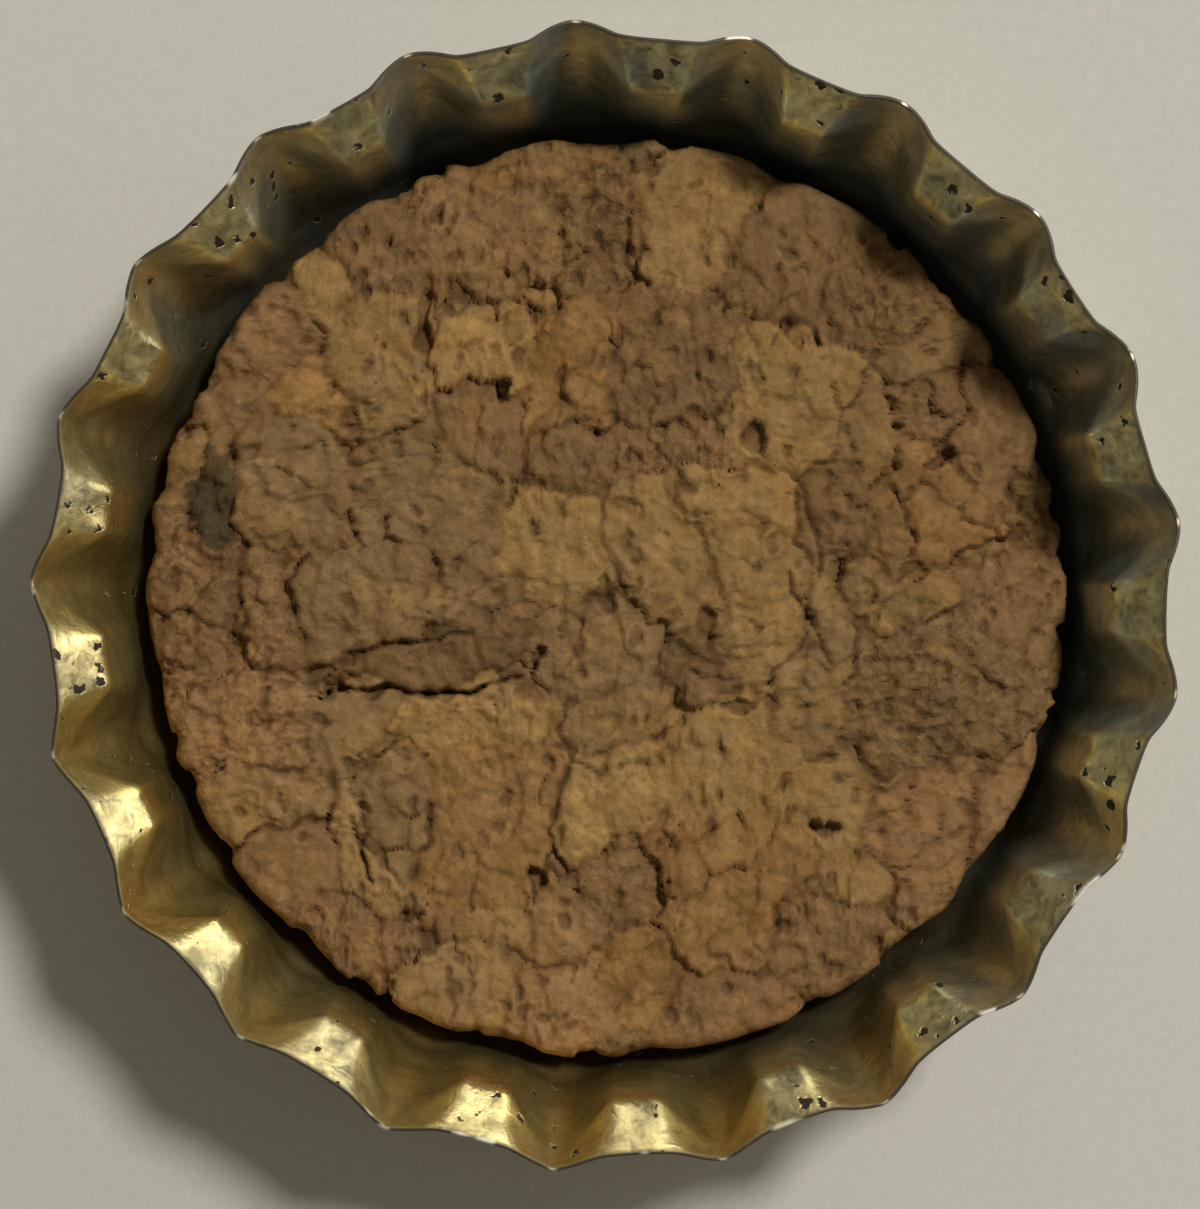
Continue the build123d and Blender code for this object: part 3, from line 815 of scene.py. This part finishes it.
def build_cork(sizes):
    """The disc: a granular top, a ragged side and a plain bottom pressed into the shoulder."""
    radius = (CORK_HIGH[0] - CORK_LOW[0]) / 2 / MM
    top, bottom = CORK_HIGH[2] / MM, CORK_LOW[2] / MM + 0.01
    unit_x, unit_y, faces, border = disc_points(sizes.grid)
    x, y = unit_x * radius, unit_y * radius
    height, colour, dirt_and_shade, crumbly, grain_place = cork_surface(x, y, sizes)
    reach = np.hypot(x, y)
    # the border is worn lower on one side
    angle = np.arctan2(y, x)
    toward = np.clip(np.cos(angle - WORN_SIDE), 0, 1) ** 6
    beyond = reach - WORN_FROM - 0.5 * rough(x, y, 2.0, 2, 221)
    height -= WORN_DEPTH * toward * smooth(beyond / 1.1)
    # joints that reach the side notch it, so each granule there ends in its own lobe
    rim_x, rim_y = radius * np.cos(angle), radius * np.sin(angle)
    rim_gap = granule_field(rim_x, rim_y, sizes)[3]
    notch = 0.05 + 0.22 * np.exp(-((rim_gap / 0.30) ** 2)) + 0.06 * rough(rim_x, rim_y, 1.6, 3, 111)
    pulled = 1 - notch / radius * (reach / radius) ** 10
    x, y = x * pulled, y * pulled
    over = np.clip(reach - (radius - EDGE_ROUND), 0, EDGE_ROUND * 0.995)
    fall = EDGE_ROUND - np.sqrt(EDGE_ROUND**2 - over**2)
    z = top - CORK_SETTLED + height - fall
    top_points = np.stack((x, y, z), axis=1)
    # the side bulges a little on its way down, then turns in to the bottom
    ring_angle = np.arctan2(y[border], x[border])
    ring_reach = np.hypot(x[border], y[border])
    start = z[border]
    outline = []
    for share in (0.25, 0.5, 0.78, 1.0):
        level = start + (bottom + FOOT_ROUND - start) * share
        swell = 0.07 * rough(ring_angle * radius, level, 0.9, 2, 121)
        outline.append((ring_reach + (swell - 0.02) * sin(pi * share), level))
    for turn in (0.35, 0.7, 1.0):
        level = bottom + FOOT_ROUND * (1 - sin(turn * pi / 2)) + 0 * start
        outline.append((ring_reach - FOOT_ROUND * (1 - cos(turn * pi / 2)), level))
    rings = [np.stack((out * np.cos(ring_angle), out * np.sin(ring_angle), level), axis=1)
             for out, level in outline]
    points = np.concatenate([top_points] + rings + [[[0, 0, bottom]]])
    first = len(top_points)
    above = np.array(border)
    for ring in range(len(rings)):
        below = first + ring * len(border) + np.arange(len(border))
        corners = (above, below, np.roll(below, -1), np.roll(above, -1))
        faces += np.stack(corners, axis=1).tolist()
        above = below
    faces += [(here, len(points) - 1, beside)
              for here, beside in zip(above.tolist(), np.roll(above, -1).tolist())]
    points = points @ np.array(Matrix.Rotation(VIEW_TURN, 3, "Z"))
    extra = len(points) - first
    side_colour = np.tile(linear_colour(CORK_TINTS["dark"]), (extra, 1))
    piece = mesh_object("cork_liner_disc", points, faces, pressed_cork(sizes))
    add_values(piece.data, "granule_tint", np.concatenate((colour, side_colour)))
    add_values(piece.data, "crevice_dirt_and_shade", np.concatenate((dirt_and_shade, np.full(extra, SIDE_DIRT))))
    add_values(piece.data, "porous", np.concatenate((crumbly, np.full(extra, SIDE_CRUMBLE))))
    add_values(piece.data, "grain_place", np.concatenate((grain_place, points[first:] * MM)))
    return piece


# ---------------------------- operators

class CAP_OT_shell(bpy.types.Operator):
    """Builds the stamped tinplate shell in place of its plain CAD solid"""
    bl_idname = "cap.shell"
    bl_label = "Crown shell"

    def execute(self, context):
        piece = build_shell(context.scene.cap_shell)
        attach(piece, "root")
        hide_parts("crown_shell")
        return {"FINISHED"}


class CAP_OT_cork(bpy.types.Operator):
    """Builds the disc of pressed cork in place of its plain CAD solid"""
    bl_idname = "cap.cork"
    bl_label = "Cork liner"

    def execute(self, context):
        piece = build_cork(context.scene.cap_cork)
        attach(piece, "root")
        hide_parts("cork_liner")
        return {"FINISHED"}


def aim(item, place, target, up):
    """Puts a light or camera at a place, looking at the target, with up at the top."""
    back = (place - target).normalized()
    side = up.cross(back).normalized()
    rise = back.cross(side)
    turned = Matrix((side, rise, back)).transposed().to_4x4()
    item.matrix_world = Matrix.Translation(place) @ turned


def lamp(name, azimuth, elevation, distance, width, height, power, target):
    """Soft box at an azimuth in the view and an elevation, aimed at the cap."""
    light = bpy.data.lights.new(name, "AREA")
    light.shape = "RECTANGLE" if width != height else "DISK"
    light.size = width
    light.size_y = height
    light.energy = power
    item = bpy.data.objects.new(name, light)
    bpy.context.collection.objects.link(item)
    turn = radians(azimuth) - VIEW_TURN
    lift = radians(elevation)
    away = Vector((cos(turn) * cos(lift), sin(turn) * cos(lift), sin(lift)))
    aim(item, target + away * distance, target, Vector((0, 0, 1)))


class CAP_OT_stage(bpy.types.Operator):
    """Adds the floor, the lights and the camera"""
    bl_idname = "cap.stage"
    bl_label = "Stage"

    def execute(self, context):
        sizes = context.scene.cap_stage
        rim = Vector((0, 0, SHELL_HIGH[2]))
        reach = 1.5
        corners = [(-reach, -reach, 0), (reach, -reach, 0), (reach, reach, 0), (-reach, reach, 0)]
        mesh = bpy.data.meshes.new("floor")
        mesh.from_pydata(corners, [], [(0, 1, 2, 3)])
        mesh.materials.append(pale_paper(sizes))
        floor = bpy.data.objects.new("floor", mesh)
        context.collection.objects.link(floor)

        world = bpy.data.worlds.new("room")
        world.use_nodes = True
        tree = world.node_tree
        tree.nodes.clear()
        glow = add_node(tree, "Background", {
            "Color": linear_colour("#fffaee"), "Strength": 0.20})
        add_node(tree, "OutputWorld", {"Surface": glow})
        context.scene.world = world

        # azimuth and elevation in degrees, distance, width and height in metres, watts
        for name, numbers in (("key", (45, 54, 0.6, 0.12, 0.12, 3.06)),
                              ("side_box", (40, 13, 0.4, 0.40, 0.16, 0.22)),
                              ("side_wall", (48, 13, 0.6, 1.7, 0.26, 1.8))):
            lamp(name, *numbers, rim)

        camera = bpy.data.cameras.new("camera")
        camera.sensor_fit = "HORIZONTAL"
        camera.lens = camera.sensor_width * sizes.camera_height / sizes.view_width
        camera.clip_start = 0.005
        item = bpy.data.objects.new("camera", camera)
        context.collection.objects.link(item)
        up = Vector((sin(VIEW_TURN), cos(VIEW_TURN), 0))
        side = Vector((cos(VIEW_TURN), -sin(VIEW_TURN), 0))
        centre = side * VIEW_SHIFT[0] + up * VIEW_SHIFT[1] + Vector((0, 0, VIEW_LEVEL))
        aim(item, centre + Vector((0, 0, sizes.camera_height)), centre, up)
        context.scene.camera = item
        context.scene.view_settings.view_transform = "Standard"
        return {"FINISHED"}


class CAP_PT_panel(bpy.types.Panel):
    """Lists the pieces and their sizes"""
    bl_idname = "CAP_PT_panel"
    bl_label = "Crown cap"
    bl_space_type = "VIEW_3D"
    bl_region_type = "UI"
    bl_category = "Crown cap"

    def draw(self, context):
        scene = context.scene
        for group, operator in ((scene.cap_shell, CAP_OT_shell), (scene.cap_cork, CAP_OT_cork),
                                (scene.cap_stage, CAP_OT_stage)):
            box = self.layout.box()
            for name in group.__annotations__:
                box.prop(group, name)
            box.operator(operator.bl_idname)


CLASSES = (ShellSizes, CorkSizes, StageSizes, CAP_OT_shell, CAP_OT_cork, CAP_OT_stage,
           CAP_PT_panel)


def register():
    for cls in CLASSES:
        bpy.utils.register_class(cls)
    bpy.types.Scene.cap_shell = PointerProperty(type=ShellSizes)
    bpy.types.Scene.cap_cork = PointerProperty(type=CorkSizes)
    bpy.types.Scene.cap_stage = PointerProperty(type=StageSizes)


def unregister():
    del bpy.types.Scene.cap_stage
    del bpy.types.Scene.cap_cork
    del bpy.types.Scene.cap_shell
    for cls in reversed(CLASSES):
        bpy.utils.unregister_class(cls)


def main():
    """Builds everything in order."""
    register()
    bpy.ops.cap.stage()
    bpy.ops.cap.shell()
    bpy.ops.cap.cork()


if __name__ == "__main__":
    main()
